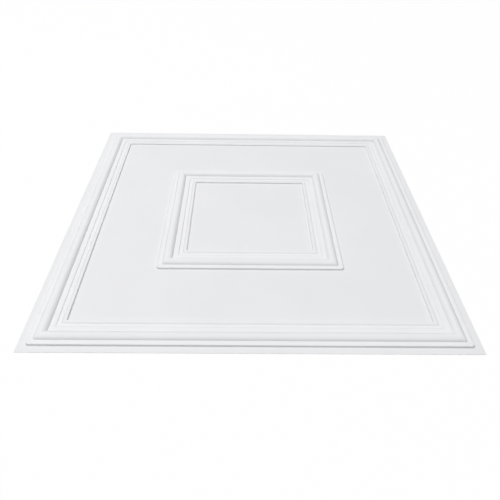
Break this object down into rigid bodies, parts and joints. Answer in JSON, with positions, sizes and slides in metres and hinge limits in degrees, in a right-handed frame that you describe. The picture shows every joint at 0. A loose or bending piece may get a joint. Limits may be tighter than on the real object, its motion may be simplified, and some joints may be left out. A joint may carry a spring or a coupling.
{
  "type": "ceiling tile",
  "caption": "Square white drop-in ceiling tile formed from one thin sheet, with a flat border, a raised moulding near the edge and a smaller one framing the centre.",
  "frame": {"origin": "middle of the tile on the back of its flat border, the plane it lies on", "axes": "+Z out of the decorated face, X and Y along the tile's sides"},
  "size_m": [0.603, 0.603, 0.0068],
  "materials": {
    "white_pvc": "smooth matt white"
  },
  "bodies": {
    "root": {"ceiling_tile": "white_pvc"}
  },
  "joints": []
}
